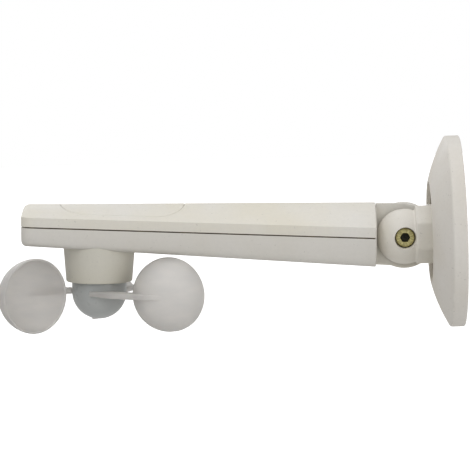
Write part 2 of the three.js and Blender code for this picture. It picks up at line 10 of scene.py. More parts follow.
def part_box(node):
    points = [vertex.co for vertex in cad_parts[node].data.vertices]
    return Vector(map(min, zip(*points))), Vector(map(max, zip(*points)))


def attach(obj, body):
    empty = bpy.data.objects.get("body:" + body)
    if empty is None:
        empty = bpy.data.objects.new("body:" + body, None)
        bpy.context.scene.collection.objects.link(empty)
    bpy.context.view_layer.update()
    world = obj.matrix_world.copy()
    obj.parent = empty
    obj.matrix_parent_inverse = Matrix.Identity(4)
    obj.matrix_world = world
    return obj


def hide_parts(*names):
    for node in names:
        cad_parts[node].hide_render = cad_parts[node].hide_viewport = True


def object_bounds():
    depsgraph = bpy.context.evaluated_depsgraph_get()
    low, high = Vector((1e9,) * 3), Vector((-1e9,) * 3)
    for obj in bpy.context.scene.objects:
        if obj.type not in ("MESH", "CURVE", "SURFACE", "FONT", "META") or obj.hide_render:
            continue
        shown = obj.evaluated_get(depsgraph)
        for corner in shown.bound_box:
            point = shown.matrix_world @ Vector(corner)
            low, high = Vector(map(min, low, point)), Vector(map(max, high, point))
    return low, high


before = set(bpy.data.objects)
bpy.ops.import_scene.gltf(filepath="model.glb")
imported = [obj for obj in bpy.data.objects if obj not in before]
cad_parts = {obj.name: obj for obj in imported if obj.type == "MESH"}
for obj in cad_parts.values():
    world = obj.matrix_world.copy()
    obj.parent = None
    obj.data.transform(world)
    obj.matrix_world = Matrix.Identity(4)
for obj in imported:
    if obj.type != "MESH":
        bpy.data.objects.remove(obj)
cad_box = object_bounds()

MM = 0.001
GAP = 0.3

# ---------------------------------------------------------------- driving dimensions, millimetres
HINGE = Vector((-25.7, 0, -1.5))
REST_TILT = math.radians(2)
U_END = 13.2
U_TIP = 171.5
ARM_TOP = (15.3, 14.4)
ARM_CREASE = (4.9, 9.8)
ARM_SPLIT = (0.1, 5.3)
ARM_BOTTOM = (-13, -3.4)
ARM_HALF_WIDTH = (14, 17.5)
CROWN_POWER = 1.35
HULL_POWER = 8
TIP_ROUNDS = {"side": 4.5, "top": 3, "bottom": 2}
SPLIT_GAP = 0.5
WALL = 2
EDGE = 0.35  # rounding of the moulded edges

LID_U = 126.7
LID_LENGTH = 56
LID_WIDTH = 25.4
LID_LEDGE = 1.3
LID_SKIN = 0.9
LEDGE_WIDTH = 1.6
SKIRT_T = 1.2
LID_EDGE = [(-0.3, 0), (-0.12, 0.06), (-0.04, 0.16), (0.02, 0.34), (0.6, 0.5)]  # height, rounding back

ROTOR_U = 137.3
SOCKET_TOP_R = 16.35
SOCKET_BOTTOM_R = 14.87
SOCKET_BOTTOM = -20.35
SPIGOT_R = 9.5
HUB_R = 12.3
HUB_TOP = -18.4
DOME_CENTRE = -25.06
HUB_WALL = 1.4
HUB_BOSS_R = 3.2
SHAFT_R = 1.5
BEARING_R = 3.5
BEARING_T = 3
BEARING_AT = (-5.6, -14.6)
CUP_ORBIT = 34.65
CUP_R = 16.8
CUP_WALL = 1.1
CUP_Z = -25
CUP_ANGLES = [math.radians(-21.5 + 120 * i) for i in range(3)]
BLADE_T = 2.4
BLADE_OUT = 17.4
BLADE_IN = 8.4

COVER_R = 43
COVER_RIM = 6.3
COVER_BULGE = 0.9
COVER_DEPTH = 14.4
COVER_WALL = 1.8
OPENING_R = 22.5
PLATE_R = 40.3
PLATE_T = 3
PLATE_LIP = 3.9
PLATE_HOLE_R = 2.6
PLATE_HOLE_AT = 32.5
PLATE_SINK_R = 4.94  # countersink at the plate's face
FOOT_R = 25
FOOT_FRONT = 10.3
KNUCKLE_R = 12.6
NECK_HALF_HEIGHT = 13
NECK_HALF_FLAT = 5.85
NECK_CHAMFER_Y = 4.5
NECK_START = 5  # from the tilt axis towards the wall
NECK_RISE = 0.7  # the neck's middle above the tilt axis
CHEEK_R = 14.6
CHEEK_Y = 13.4
SWEEP_R = 16.9  # room in the neck for the tilting cheek
PARTING = 0.8
COUNTERBORE_R = 4.75
SCREW_R = 2.4
SCREW_HEAD_R = 4.25
SCREW_HEAD_TOP = 7.6
SCREW_HEAD_H = 4.2
HEX_KEY = 4  # across flats
HEX_DEPTH = 2.6
SCREW_TIP = 12.4
DISC_R = 11
NUT_FLATS = 8
NUT_T = 4
NUT_SUNK = 0.8  # the nut's outer face below the cheek's
NUT_OUT = CHEEK_Y - NUT_SUNK
NUT_IN = NUT_OUT - NUT_T
CASE_SCREWS = [(36, 7.5), (36, -7.5), (90, 8.5), (90, -8.5), (164.5, 0)]
CASE_HEAD_R = 2.5
POST_R = 3.6
SEAT_DEPTH = 2.6
PILOT_R = 1.6
SEAL_START = 0.6
SEAL_STEP = 2
CELL_R = 5.1
CELL_TIP_R = 1.9
CELL_TIP_H = 0.8
CELL_LENGTH = 43.5
CELL_Y = 5.6
CELL_Z = 5

ARM = Matrix.Translation(HINGE) @ Matrix.Rotation(REST_TILT, 4, "Y")
ROTOR = ARM @ Matrix.Translation((-ROTOR_U, 0, 0))
AT_HINGE = Matrix.Translation(HINGE)
WALL_AXIS = Matrix.Rotation(-math.pi / 2, 4, "Y")  # a turned body's axis along the wall's normal
ACROSS = Matrix.Rotation(math.pi / 2, 4, "X")  # a turned body's axis across the arm, height to -Y
ALONG_SCREW = Matrix.Rotation(-math.pi / 2, 4, "X")  # the same axis, height to +Y


# ---------------------------------------------------------------- outlines
def rounded(points, radii, steps=4):
    """The closed outline with each corner turned into an arc of its radius."""
    outline = []
    for i, (point, radius) in enumerate(zip(points, radii)):
        corner = Vector(point)
        if radius == 0:
            outline.append(tuple(corner))
            continue
        back = Vector(points[i - 1]) - corner
        ahead = Vector(points[(i + 1) % len(points)]) - corner
        half = back.angle(ahead) / 2
        reach = min(radius / math.tan(half), 0.48 * back.length, 0.48 * ahead.length)
        middle = (back.normalized() + ahead.normalized()).normalized()
        centre = corner + middle * (reach / math.cos(half))
        start = corner + back.normalized() * reach - centre
        end = corner + ahead.normalized() * reach - centre
        turn = start.angle(end)
        for k in range(steps + 1):
            share = k / steps
            from_start = math.sin((1 - share) * turn) / math.sin(turn)
            from_end = math.sin(share * turn) / math.sin(turn)
            outline.append(tuple(centre + start * from_start + end * from_end))
    return outline


def arc(centre, radius, start, end, steps):
    """Points on a circle, with the angles in degrees."""
    angles = [math.radians(start + (end - start) * i / steps) for i in range(steps + 1)]
    return [(centre[0] + radius * math.cos(a), centre[1] + radius * math.sin(a)) for a in angles]


def hexagon(across_flats):
    return arc((0, 0), across_flats / math.sqrt(3), 0, 300, 5)


def stadium(grow):
    """The lid's outline in the arm's x and y."""
    r = LID_WIDTH / 2 + grow
    half = (LID_LENGTH - LID_WIDTH) / 2
    return arc((-LID_U + half, 0), r, -90, 90, 24) + arc((-LID_U - half, 0), r, 90, 270, 24)


# ---------------------------------------------------------------- mesh making
def mesh_object(name, bm, place=None):
    bmesh.ops.remove_doubles(bm, verts=bm.verts, dist=1e-6)
    for edge in [edge for edge in bm.edges if not edge.link_faces]:
        bm.edges.remove(edge)
    bmesh.ops.recalc_face_normals(bm, faces=bm.faces)
    mesh = bpy.data.meshes.new(name)
    bm.to_mesh(mesh)
    bm.free()
    piece = bpy.data.objects.new(name, mesh)
    bpy.context.scene.collection.objects.link(piece)
    if place is not None:
        put(piece, place)
    return piece


def put(piece, place):
    """Moves the mesh itself by a matrix whose offsets are in millimetres."""
    metres = place.copy()
    metres.translation *= MM
    piece.data.transform(metres)
    return piece


def loft(name, rings, place=None, ring_closed=False):
    """A closed body through rings of equally many points."""
    bm = bmesh.new()
    rows = [[bm.verts.new(Vector(p) * MM) for p in ring] for ring in rings]
    pairs = list(zip(rows, rows[1:]))
    if ring_closed:
        pairs.append((rows[-1], rows[0]))
    for low, high in pairs:
        for i in range(len(low)):
            j = (i + 1) % len(low)
            bm.faces.new((low[i], low[j], high[j], high[i]))
    if not ring_closed:
        bm.faces.new(rows[0][::-1])
        bm.faces.new(rows[-1])
    return mesh_object(name, bm, place)


def turned(name, profile, place=None, steps=96):
    """A body turned about Z from a closed outline of (radius, height)."""
    rings = []
    for i in range(steps):
        a = 2 * math.pi * i / steps
        rings.append([(r * math.cos(a), r * math.sin(a), h) for r, h in profile])
    return loft(name, rings, place, ring_closed=True)


def rod(radius, low, high, place=None, steps=64):
    return turned("cutter", [(0, low), (radius, low), (radius, high), (0, high)], place, steps)


def prism(name, outline, low, high, place=None):
    return loft(name, [[(x, y, z) for x, y in outline] for z in (low, high)], place)


def block(x, y, z, place=None):
    return prism("cutter", [(x[0], y[0]), (x[1], y[0]), (x[1], y[1]), (x[0], y[1])], *z, place)


# ---------------------------------------------------------------- mesh changing
def settle(piece):
    """Turns the piece's modifiers into its mesh."""
    bpy.context.view_layer.update()
    graph = bpy.context.evaluated_depsgraph_get()
    mesh = bpy.data.meshes.new_from_object(piece.evaluated_get(graph))
    mesh.name = piece.name
    piece.modifiers.clear()
    piece.data = mesh
    return piece


def combine(piece, other, operation):
    """An exact boolean with another body, which is used up."""
    modifier = piece.modifiers.new("combine", "BOOLEAN")
    modifier.operation = operation
    modifier.solver = "EXACT"
    modifier.object = other
    settle(piece)
    bpy.data.objects.remove(other)
    return piece


def cut(piece, other):
    return combine(piece, other, "DIFFERENCE")


def join(piece, other):
    return combine(piece, other, "UNION")


def within(piece, other):
    return combine(piece, other, "INTERSECT")


def soften(piece, width, segments=2, angle=30):
    modifier = piece.modifiers.new("soften", "BEVEL")
    modifier.width = width * MM
    modifier.segments = segments
    modifier.limit_method = "ANGLE"
    modifier.angle_limit = math.radians(angle)
    return settle(piece)


def melt(piece, voxel, rounds):
    """Remeshes a body finely and smooths it, so its inner and outer corners turn into fillets."""
    modifier = piece.modifiers.new("melt", "REMESH")
    modifier.mode = "VOXEL"
    modifier.voxel_size = voxel * MM
    smooth = piece.modifiers.new("smooth", "SMOOTH")
    smooth.factor = 0.5
    smooth.iterations = rounds
    return settle(piece)


# ---------------------------------------------------------------- procedural materials
def linear(srgb):
    """A colour given as 0 to 255 sRGB, as the linear colour that a shader takes."""
    parts = [c / 255 for c in srgb]
    return [*(c / 12.92 if c <= 0.04045 else ((c + 0.055) / 1.055) ** 2.4 for c in parts), 1]


class Surface:
    """A material with one Principled shader, and short ways to add nodes to it."""

    def __init__(self, name):
        self.material = bpy.data.materials.new(name)
        self.material.use_nodes = True
        self.nodes = self.material.node_tree.nodes
        self.links = self.material.node_tree.links
        self.shader = self.nodes["Principled BSDF"]
        self.coordinates = self.nodes.new("ShaderNodeTexCoord").outputs["Object"]

    def link(self, source, target):
        self.links.new(source, target)
        return source

    def noise(self, size_mm, detail=2.0, stretch=None):
        """Noise from 0 to 1 whose features are about size_mm wide."""
        node = self.nodes.new("ShaderNodeTexNoise")
        node.inputs["Scale"].default_value = 1 / (size_mm * MM)
        node.inputs["Detail"].default_value = detail
        source = self.coordinates
        if stretch:
            mapping = self.nodes.new("ShaderNodeMapping")
            mapping.inputs["Scale"].default_value = stretch
            self.link(source, mapping.inputs["Vector"])
            source = mapping.outputs["Vector"]
        self.link(source, node.inputs["Vector"])
        return node.outputs["Fac"]

    def between(self, value, low, high, to_low=0.0, to_high=1.0):
        node = self.nodes.new("ShaderNodeMapRange")
        node.inputs["From Min"].default_value = low
        node.inputs["From Max"].default_value = high
        node.inputs["To Min"].default_value = to_low
        node.inputs["To Max"].default_value = to_high
        self.link(value, node.inputs["Value"])
        return node.outputs["Result"]

    def blend(self, share, first, second):
        """A colour between two, each of them a colour or another node's output."""
        node = self.nodes.new("ShaderNodeMix")
        node.data_type = "RGBA"
        self.link(share, node.inputs["Factor"])
        for socket, colour in ((node.inputs[6], first), (node.inputs[7], second)):
            if isinstance(colour, list):
                socket.default_value = colour
            else:
                self.link(colour, socket)
        return node.outputs[2]

    def edges(self, low=0.52, high=0.6):
        node = self.nodes.new("ShaderNodeNewGeometry")
        return self.between(node.outputs["Pointiness"], low, high)

    def bump(self, height, depth_mm, strength=1.0, under=None):
        node = self.nodes.new("ShaderNodeBump")
        node.inputs["Strength"].default_value = strength
        node.inputs["Distance"].default_value = depth_mm * MM
        self.link(height, node.inputs["Height"])
        if under is not None:
            self.link(under, node.inputs["Normal"])
        return node.outputs["Normal"]

    def set(self, **values):
        for name, value in values.items():
            self.shader.inputs[name.replace("_", " ")].default_value = value
        return self


def moulded(name, colour, tint, roughness, grain=0.5, marks=0.25, depth=0.012, **values):
    """Moulded plastic: a slow change of tint, a fine mottle, rubbed edges and a spark-eroded grain."""
    s = Surface(name)
    cloudy = s.between(s.noise(34, 3), 0.35, 0.65)
    body = s.blend(cloudy, linear(colour), linear(tint))
    mottle = s.between(s.noise(1.6, 4), 0.35, 0.75, 0, 0.16)
    body = s.blend(mottle, body, linear([c * 0.9 for c in colour]))
    specks = s.between(s.noise(1.1, 1), 0.735, 0.765, 0, marks)
    body = s.blend(specks, body, linear([c * 0.62 for c in colour]))
    rubbed = s.between(s.edges(), 0, 1, 0, 0.3)
    body = s.blend(rubbed, body, linear([min(255, c * 1.05 + 4) for c in colour]))
    s.link(body, s.shader.inputs["Base Color"])
    wear = s.between(s.noise(9, 4), 0.3, 0.7, roughness - 0.07, roughness + 0.07)
    s.link(wear, s.shader.inputs["Roughness"])
    slow = s.bump(s.noise(16, 1), 0.06)
    s.link(s.bump(s.noise(grain, 3), depth, under=slow), s.shader.inputs["Normal"])
    s.set(**values)
    return s.material


def frosted(name, colour, tint, roughness, **values):
    """Translucent moulded plastic with a fine satin frost and faint flow marks."""
    s = Surface(name)
    flow = s.between(s.noise(9, 2, stretch=(1, 1, 2.5)), 0.3, 0.7)
    s.link(s.blend(flow, linear(colour), linear(tint)), s.shader.inputs["Base Color"])
    frost = s.between(s.noise(2.2, 4), 0.3, 0.7, roughness - 0.04, roughness + 0.04)
    s.link(frost, s.shader.inputs["Roughness"])
    s.link(s.bump(s.noise(0.35, 3), 0.006), s.shader.inputs["Normal"])
    s.set(**values)
    return s.material


def metal(name, colour, stain, roughness, brush=(1, 1, 1), **values):
    """Machined or plated metal with fine tool marks, stains and brighter edges."""
    s = Surface(name)
    stained = s.between(s.noise(2.4, 4), 0.4, 0.7)
    body = s.blend(stained, linear(colour), linear(stain))
    body = s.blend(s.between(s.edges(), 0, 1, 0, 0.6), body, linear([min(255, c * 1.2) for c in colour]))
    s.link(body, s.shader.inputs["Base Color"])
    marks = s.noise(0.25, 3, stretch=brush)
    s.link(s.between(marks, 0.3, 0.7, roughness - 0.1, roughness + 0.12), s.shader.inputs["Roughness"])
    s.link(s.bump(marks, 0.012), s.shader.inputs["Normal"])
    s.set(Metallic=1.0, **values)
    return s.material


def elastomer(name, colour, dust, **values):
    """Soft black or brown rubber with dust in its pores."""
    s = Surface(name)
    dusty = s.between(s.noise(3, 5), 0.45, 0.75)
    s.link(s.blend(dusty, linear(colour), linear(dust)), s.shader.inputs["Base Color"])
    s.link(s.between(s.noise(1.2, 3), 0.3, 0.7, 0.7, 0.92), s.shader.inputs["Roughness"])
    s.link(s.bump(s.noise(0.4, 4), 0.03), s.shader.inputs["Normal"])
    s.set(**values)
    return s.material


def board_material():
    """Green solder mask over a faint pattern of copper tracks."""
    s = Surface("board_mask")
    wave = s.nodes.new("ShaderNodeTexWave")
    wave.inputs["Scale"].default_value = 260
    wave.inputs["Distortion"].default_value = 2.5
    s.link(s.coordinates, wave.inputs["Vector"])
    tracks = s.between(wave.outputs["Fac"], 0.55, 0.62, 0, 0.5)
    s.link(s.blend(tracks, linear((24, 84, 46)), linear((52, 128, 70))), s.shader.inputs["Base Color"])
    s.link(s.bump(tracks, 0.02), s.shader.inputs["Normal"])
    s.link(s.between(s.noise(4, 3), 0.3, 0.7, 0.3, 0.45), s.shader.inputs["Roughness"])
    return s.material


def jacket_material():
    """A cell's shrunk sleeve: dark grey blue with a warm band at one end and fine wrinkles."""
    s = Surface("cell_jacket")
    split = s.nodes.new("ShaderNodeSeparateXYZ")
    s.link(s.coordinates, split.inputs["Vector"])
    low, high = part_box("battery_near")
    edge = low.x + 0.3 * (high.x - low.x)
    band = s.between(split.outputs["X"], edge - 0.0001, edge + 0.0001)
    body = s.blend(band, linear((176, 120, 72)), linear((52, 64, 82)))
    soiled = s.between(s.noise(3, 4), 0.4, 0.8, 0, 0.25)
    s.link(s.blend(soiled, body, linear((20, 22, 26))), s.shader.inputs["Base Color"])
    s.link(s.between(s.noise(5, 3), 0.3, 0.7, 0.24, 0.36), s.shader.inputs["Roughness"])
    s.link(s.bump(s.noise(1.8, 2, stretch=(0.3, 1, 1)), 0.03), s.shader.inputs["Normal"])
    s.set(Metallic=0.35)
    return s.material


LOOKS = {
    "shell": moulded("shell_plastic", (224, 221, 214), (222, 217, 203), 0.5),
    # painted shade: the lower shell is the same plastic as the upper one, made darker for the shade on the
    # arm's underside
    "lower": moulded("lower_shell_painted_shade", (211, 208, 202), (207, 203, 194), 0.52),
    "base": moulded("base_plastic", (222, 218, 211), (217, 211, 201), 0.56, marks=0.4),
    "bracket": moulded("bracket_plastic", (229, 225, 217), (220, 215, 202), 0.5),
    "socket": moulded("socket_plastic", (206, 203, 192), (200, 196, 182), 0.55),
    "inner": moulded("inner_plastic", (196, 193, 186), (186, 183, 175), 0.6),
    "hub": frosted("hub_plastic", (172, 174, 172), (167, 170, 169), 0.3,
                   Coat_Weight=0.2, Coat_Roughness=0.15),
    "cup": frosted("cup_plastic", (222, 219, 215), (215, 213, 210), 0.46,
                   Transmission_Weight=0.4, IOR=1.35),
    "seal": elastomer("seal_rubber", (58, 46, 28), (104, 90, 60)),
    "disc": elastomer("friction_rubber", (36, 36, 38), (70, 68, 64)),
    "steel": metal("screw_steel", (176, 178, 180), (132, 132, 130), 0.32),
    "bearing": metal("bearing_steel", (206, 208, 212), (168, 170, 174), 0.2, brush=(1, 1, 8)),
    "zinc": metal("yellow_zinc", (206, 198, 146), (164, 156, 106), 0.5),
    "contact": metal("plated_contact", (196, 192, 182), (150, 146, 136), 0.25),
    "shield": metal("shield_can", (186, 188, 190), (150, 152, 154), 0.3, brush=(0.2, 1, 1)),
    "magnet": elastomer("magnet_ferrite", (38, 38, 42), (60, 60, 64)),
    "chip": elastomer("chip_resin", (24, 25, 27), (44, 45, 48)),
    "board": board_material(),
    "jacket": jacket_material(),
    # painted shade: a dark material for the shade inside the hinge screw's hexagon socket
    "hex_socket_shade": elastomer("hex_socket_painted_shade", (38, 38, 32), (62, 60, 46)),
}


def dress(piece, look, body, slot, *nodes, smooth=32):
    """Gives a piece its material and its body, and hides the CAD nodes that it stands for. The finish slot
    is not used.
    """
    piece.data.materials.clear()
    piece.data.materials.append(LOOKS[look])
    shade(piece, smooth)
    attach(piece, body)
    if nodes:
        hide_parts(*nodes)
    return piece


def shade_hex_socket(screw):
    """Paints shade inside the hinge screw's hexagon socket: its walls and floor get a dark material."""
    screw.data.materials.append(LOOKS["hex_socket_shade"])
    middle = ARM @ Vector((0, -SCREW_HEAD_TOP, 0))
    for face in screw.data.polygons:
        at = face.center / MM - middle
        inside = math.hypot(at.x, at.z) < HEX_KEY / 2 + 0.35 and 0.32 < at.y < HEX_DEPTH + 0.2
        face.material_index = 1 if inside else 0


def shade(piece, angle):
    mesh = piece.data
    mesh.polygons.foreach_set("use_smooth", [True] * len(mesh.polygons))
    mesh.polygons.foreach_set("material_index", [0] * len(mesh.polygons))
    mesh.set_sharp_from_angle(angle=math.radians(angle))
    mesh.update()


# ---------------------------------------------------------------- the arm's section
def along(ends, u):
    return ends[0] + (ends[1] - ends[0]) * (u - U_END) / (U_TIP - U_END)


def tip_round(u, radius):
    past = u - (U_TIP - radius)
    if past <= 0:
        return 0
    return radius - math.sqrt(max(radius * radius - past * past, 0))


def end_round(u):
    """How far the wall end's edge is rounded off."""
    left = u - U_END
    if not 0 <= left < EDGE:
        return 0
    return EDGE - math.sqrt(EDGE * EDGE - (EDGE - left) ** 2)


def section(u, inset):
    off = inset + end_round(u)
    return {
        "half": along(ARM_HALF_WIDTH, u) - off - tip_round(u + inset, TIP_ROUNDS["side"]),
        "top": along(ARM_TOP, u) - off - tip_round(u + inset, TIP_ROUNDS["top"]),
        "crease": along(ARM_CREASE, u) - off * 0.3,
        "split": along(ARM_SPLIT, u),
        "bottom": along(ARM_BOTTOM, u) + off + tip_round(u + inset, TIP_ROUNDS["bottom"]),
    }


def crown_height(u, y, inset=0):
    at = section(u, inset)
    share = min(abs(y) / at["half"], 1)
    return at["crease"] + (1 - share**CROWN_POWER) * (at["top"] - at["crease"])


def crown_points(u, inset, steps=36):
    half = section(u, inset)["half"]
    across = [half * math.cos(math.pi * i / steps) for i in range(steps + 1)]
    return [(y, crown_height(u, y, inset)) for y in across]


def hull_points(u, inset, steps=48):
    at = section(u, inset)
    points = []
    for i in range(steps + 1):
        a = math.pi + math.pi * i / steps
        side = math.copysign(abs(math.cos(a)) ** (2 / HULL_POWER), math.cos(a))
        drop = abs(math.sin(a)) ** (2 / HULL_POWER)
        points.append((at["half"] * side, at["split"] + drop * (at["bottom"] - at["split"])))
    return points


def upper_ring(u, inset):
    at = section(u, inset)
    low = at["split"] + SPLIT_GAP / 2
    crown = crown_points(u, inset)[1:-1]
    half = at["half"]
    corners = [(half, low), (half, at["crease"]), *crown, (-half, at["crease"]), (-half, low)]
    return rounded(corners, [EDGE, 0.9, *[0] * len(crown), 0.9, EDGE])


def lower_ring(u, inset):
    top = section(u, inset)["split"] - SPLIT_GAP / 2
    hull = [(y, min(z, top)) for y, z in hull_points(u, inset)]
    hull[0] = (hull[0][0] + EDGE * 0.4, top)
    hull[-1] = (hull[-1][0] - EDGE * 0.4, top)
    return hull


def whole_ring(u, inset):
    return crown_points(u, inset) + hull_points(u, inset)[1:-1]


def stations(start, end):
    """Places along the arm, close together where its ends are rounded."""
    places = [start]
    if start == U_END:
        places += [U_END + EDGE * share for share in (0.05, 0.2, 0.5, 1)]
    straight_end = min(end, U_TIP - TIP_ROUNDS["side"])
    first = places[-1]
    steps = max(1, round((straight_end - first) / 6))
    places += [first + (straight_end - first) * i / steps for i in range(1, steps + 1)]
    if end > straight_end:
        turn = [math.sin(math.radians(9 * i)) for i in range(1, 11)]
        places += [straight_end + (end - straight_end) * share for share in turn]
    return places


def arm_body(name, ring, start=U_END, end=U_TIP, inset=0):
    rings = [[(-u, y, z) for y, z in ring(u, inset)] for u in stations(start, end)]
    return loft(name, rings)


def lid_wall(levels):
    """The lid's outline as a body whose rings follow the crown: (height from the skin, growth) each."""
    rings = []
    for height, grow in levels:
        rings.append([(x, y, crown_height(-x, y) + height) for x, y in stadium(grow)])
    low, high = levels[0][1], levels[-1][1]
    rings.insert(0, [(x, y, -1) for x, y in stadium(low)])
    rings.append([(x, y, 30) for x, y in stadium(high)])
    return loft("cutter", rings)


# ---------------------------------------------------------------- arm shells
def upper_shell():
    shell = arm_body("arm_upper_shell", upper_ring)
    cavity = arm_body("cutter", whole_ring, U_END - 1, U_TIP - WALL, WALL)
    cut(shell, cavity)
    recess = lid_wall(LID_EDGE)
    ledge = arm_body("cutter", whole_ring, U_END - 1, U_TIP - LID_LEDGE, LID_LEDGE)
    cut(recess, ledge)
    cut(shell, recess)
    cut(shell, prism("cutter", stadium(-LEDGE_WIDTH), 1, 30))
    return put(shell, ARM)


def lid():
    body = arm_body("battery_door", whole_ring)
    rim = lid_wall([(height, -GAP / 2 - back) for height, back in LID_EDGE])
    within(body, rim)
    cut(body, arm_body("cutter", whole_ring, U_END - 1, U_TIP - LID_SKIN, LID_SKIN))
    skirt = prism("cutter", stadium(-LEDGE_WIDTH - GAP), 2, 30)
    cut(skirt, prism("cutter", stadium(-LEDGE_WIDTH - SKIRT_T - GAP), 0, 31))
    within(skirt, arm_body("cutter", whole_ring, U_END, U_TIP - 0.45, 0.45))
    cut(skirt, arm_body("cutter", whole_ring, U_END - 1, U_TIP - WALL - 0.6, WALL + 0.6))
    return put(join(body, skirt), ARM)


def screw_seat(u):
    return along(ARM_BOTTOM, u) + SEAT_DEPTH


def lower_shell():
    shell = arm_body("arm_lower_shell", lower_ring)
    cut(shell, arm_body("cutter", whole_ring, U_END - 1, U_TIP - WALL, WALL))
    for u, y in CASE_SCREWS:
        post = prism("cutter", arc((-u, y), POST_R, 0, 354, 59), -30, along(ARM_SPLIT, u) - SPLIT_GAP)
        within(post, arm_body("cutter", lower_ring, U_END, U_TIP - WALL / 2, WALL / 2))
        join(shell, post)
    for u, y in CASE_SCREWS:
        place = Matrix.Translation((-u, y, 0))
        seat = screw_seat(u)
        head = CASE_HEAD_R + GAP
        well = [(0, -30), (CASE_HEAD_R + 1.2, -30), (head, seat - 1.4), (head, seat),
                (PILOT_R, seat), (PILOT_R, 30), (0, 30)]
        cut(shell, turned("cutter", well, place, 44))
    cut(shell, rod(SPIGOT_R + GAP, -30, 0, Matrix.Translation((-ROTOR_U, 0, 0)), 96))
    return put(shell, ARM)


def case_seal():
    """The seal's bead inside the joint, with a thin lip that fills most of the split."""
    radius = TIP_ROUNDS["side"]
    tip_start = U_TIP - radius
    reach = section(tip_start, 0)["half"] - radius
    count = math.ceil((tip_start - U_END - SEAL_START) / SEAL_STEP)
    side = [U_END + SEAL_START + SEAL_STEP * i for i in range(count)]
    path = [(Vector((u, -section(u, 0)["half"])), Vector((0, -1))) for u in side]
    for degrees in range(-90, 91, 10):
        a = math.radians(degrees)
        out = Vector((math.cos(a), math.sin(a)))
        path.append((Vector((tip_start, reach * math.sin(a))) + out * radius, out))
    path += [(Vector((u, section(u, 0)["half"])), Vector((0, 1))) for u in reversed(side)]
    rings = []
    for i, (skin, out) in enumerate(path):
        ragged = 0.07 * math.sin(i * 2.3) + 0.05 * math.sin(i * 5.1 + 1)
        bead = min(max((skin.x - U_END - 6) / 2, 0), 1)
        thick = 0.2 + 0.8 * bead
        deep = 1.9 + 1.5 * bead
        lip = 0.36 + ragged
        shoulder = min(2.2, deep)
        profile = [(lip, -0.2), (lip, 0.2), (1.95, 0.2), (shoulder, thick),
                   (deep, thick), (deep, -thick), (shoulder, -thick), (1.95, -0.2)]
        ring = []
        for inset, height in profile:
            at = skin - out * inset
            ring.append((-at.x, at.y, along(ARM_SPLIT, at.x) + height))
        rings.append(ring)
    return loft("joint_seal", rings, ARM)


def case_screw(index, u, y):
    seat = screw_seat(u) - GAP
    place = ARM @ Matrix.Translation((-u, y, seat))
    corners = [(0, 0), (0, -1.6), (CASE_HEAD_R * 0.72, -1.6), (CASE_HEAD_R, -0.7), (CASE_HEAD_R, 0),
               (1.2, 0), (1.2, 1.6), (0.9, 4.2), (0, 4.2)]
    outline = rounded(corners, [0, 0, 0.5, 0.4, 0.15, 0.1, 0, 0.2, 0])
    screw = turned(f"cross_screw_{index + 1}", outline, None, 48)
    for turn in (0, 90):
        bar = [(-1.35, -1.8), (1.35, -1.8), (0.6, -0.5), (-0.6, -0.5)]
        spin = Matrix.Rotation(math.radians(turn), 4, "Z") @ ACROSS
        slot = prism("cutter", bar, -0.3, 0.3, spin)
        cut(screw, slot)
    return put(screw, place)


# ---------------------------------------------------------------- hinge and bracket
def hinge_block():
    root = arm_body("hinge_cheek", whole_ring, -1, U_END + 3)
    far = block((-U_END - 1, 1), (PARTING, 30), (-40, 40))
    within(root, far)
    corners = [(0, PARTING), (CHEEK_R, PARTING), (CHEEK_R, CHEEK_Y), (0, CHEEK_Y)]
    disc = rounded(corners, [0, 0.3, 1.6, 0], 6)
    cheek = turned("cutter", disc, ALONG_SCREW)
    join(root, cheek)
    melt(root, 0.36, 3)
    within(root, block((-U_END + GAP, 40), (-40, 40), (-40, 40)))
    join(root, arm_body("cutter", whole_ring, U_END - 0.4, U_END + 6, WALL + GAP))
    pocket = prism("cutter", hexagon(NUT_FLATS + 2 * GAP), NUT_IN - GAP, 40, ALONG_SCREW)
    cut(root, pocket)
    cut(root, rod(SCREW_R + GAP, -30, 30, ACROSS))
    return put(root, ARM)


def neck():
    """The neck's eight-sided bar from the knuckle back to the foot, in the hinge's frame."""
    face = KNUCKLE_R - 0.1
    h, f, c = NECK_HALF_HEIGHT, NECK_HALF_FLAT, NECK_CHAMFER_Y
    outline = [(-face, -f), (-c, -h), (c, -h), (face, -f), (face, f), (c, h), (-c, h), (-face, f)]
    outline = rounded(outline, [1.6, 2.4, 2.4, 1.6, 1.6, 2.4, 2.4, 1.6], 5)
    depth = -HINGE.x - FOOT_FRONT + 1.5
    return loft("neck", [[(x, y, z + NECK_RISE) for y, z in outline] for x in (NECK_START, depth)])


def ball_profile(radius):
    half_circle = [(radius * math.cos(math.radians(a)), radius * math.sin(math.radians(a)))
                   for a in range(-90, 91, 3)]
    half_circle[0] = (0, -radius)
    half_circle[-1] = (0, radius)
    return half_circle


def pivot_bracket():
    near = neck()
    near.name = "tilt_bracket"
    join(near, turned("cutter", ball_profile(KNUCKLE_R)))
    within(near, block((-40, 60), (-40, -PARTING), (-40, 40)))
    far = neck()
    within(far, block((8, 60), (-PARTING - 0.3, 40), (-40, 40)))
    cut(far, rod(SWEEP_R, -40, PARTING, ACROSS, 128))
    join(near, far)
    foot_back = PLATE_T + GAP
    corners = [(0, foot_back), (FOOT_R, foot_back), (FOOT_R, FOOT_FRONT), (0, FOOT_FRONT)]
    foot = rounded(corners, [0, 0.5, 1.2, 0])
    spin = Matrix.Translation(-HINGE) @ WALL_AXIS
    join(near, turned("cutter", foot, spin, 128))
    melt(near, 0.42, 7)
    head_floor = -SCREW_HEAD_TOP + SCREW_HEAD_H + GAP
    mouth = [(0, -20), (COUNTERBORE_R + 0.9, -20), (COUNTERBORE_R + 0.9, -11.9),
             (COUNTERBORE_R + 0.25, -11.55), (COUNTERBORE_R, -11.1), (COUNTERBORE_R, head_floor),
             (SCREW_R + GAP, head_floor), (SCREW_R + GAP, 5), (0, 5)]
    cut(near, turned("cutter", mouth, ALONG_SCREW, 96))
    return put(near, AT_HINGE)


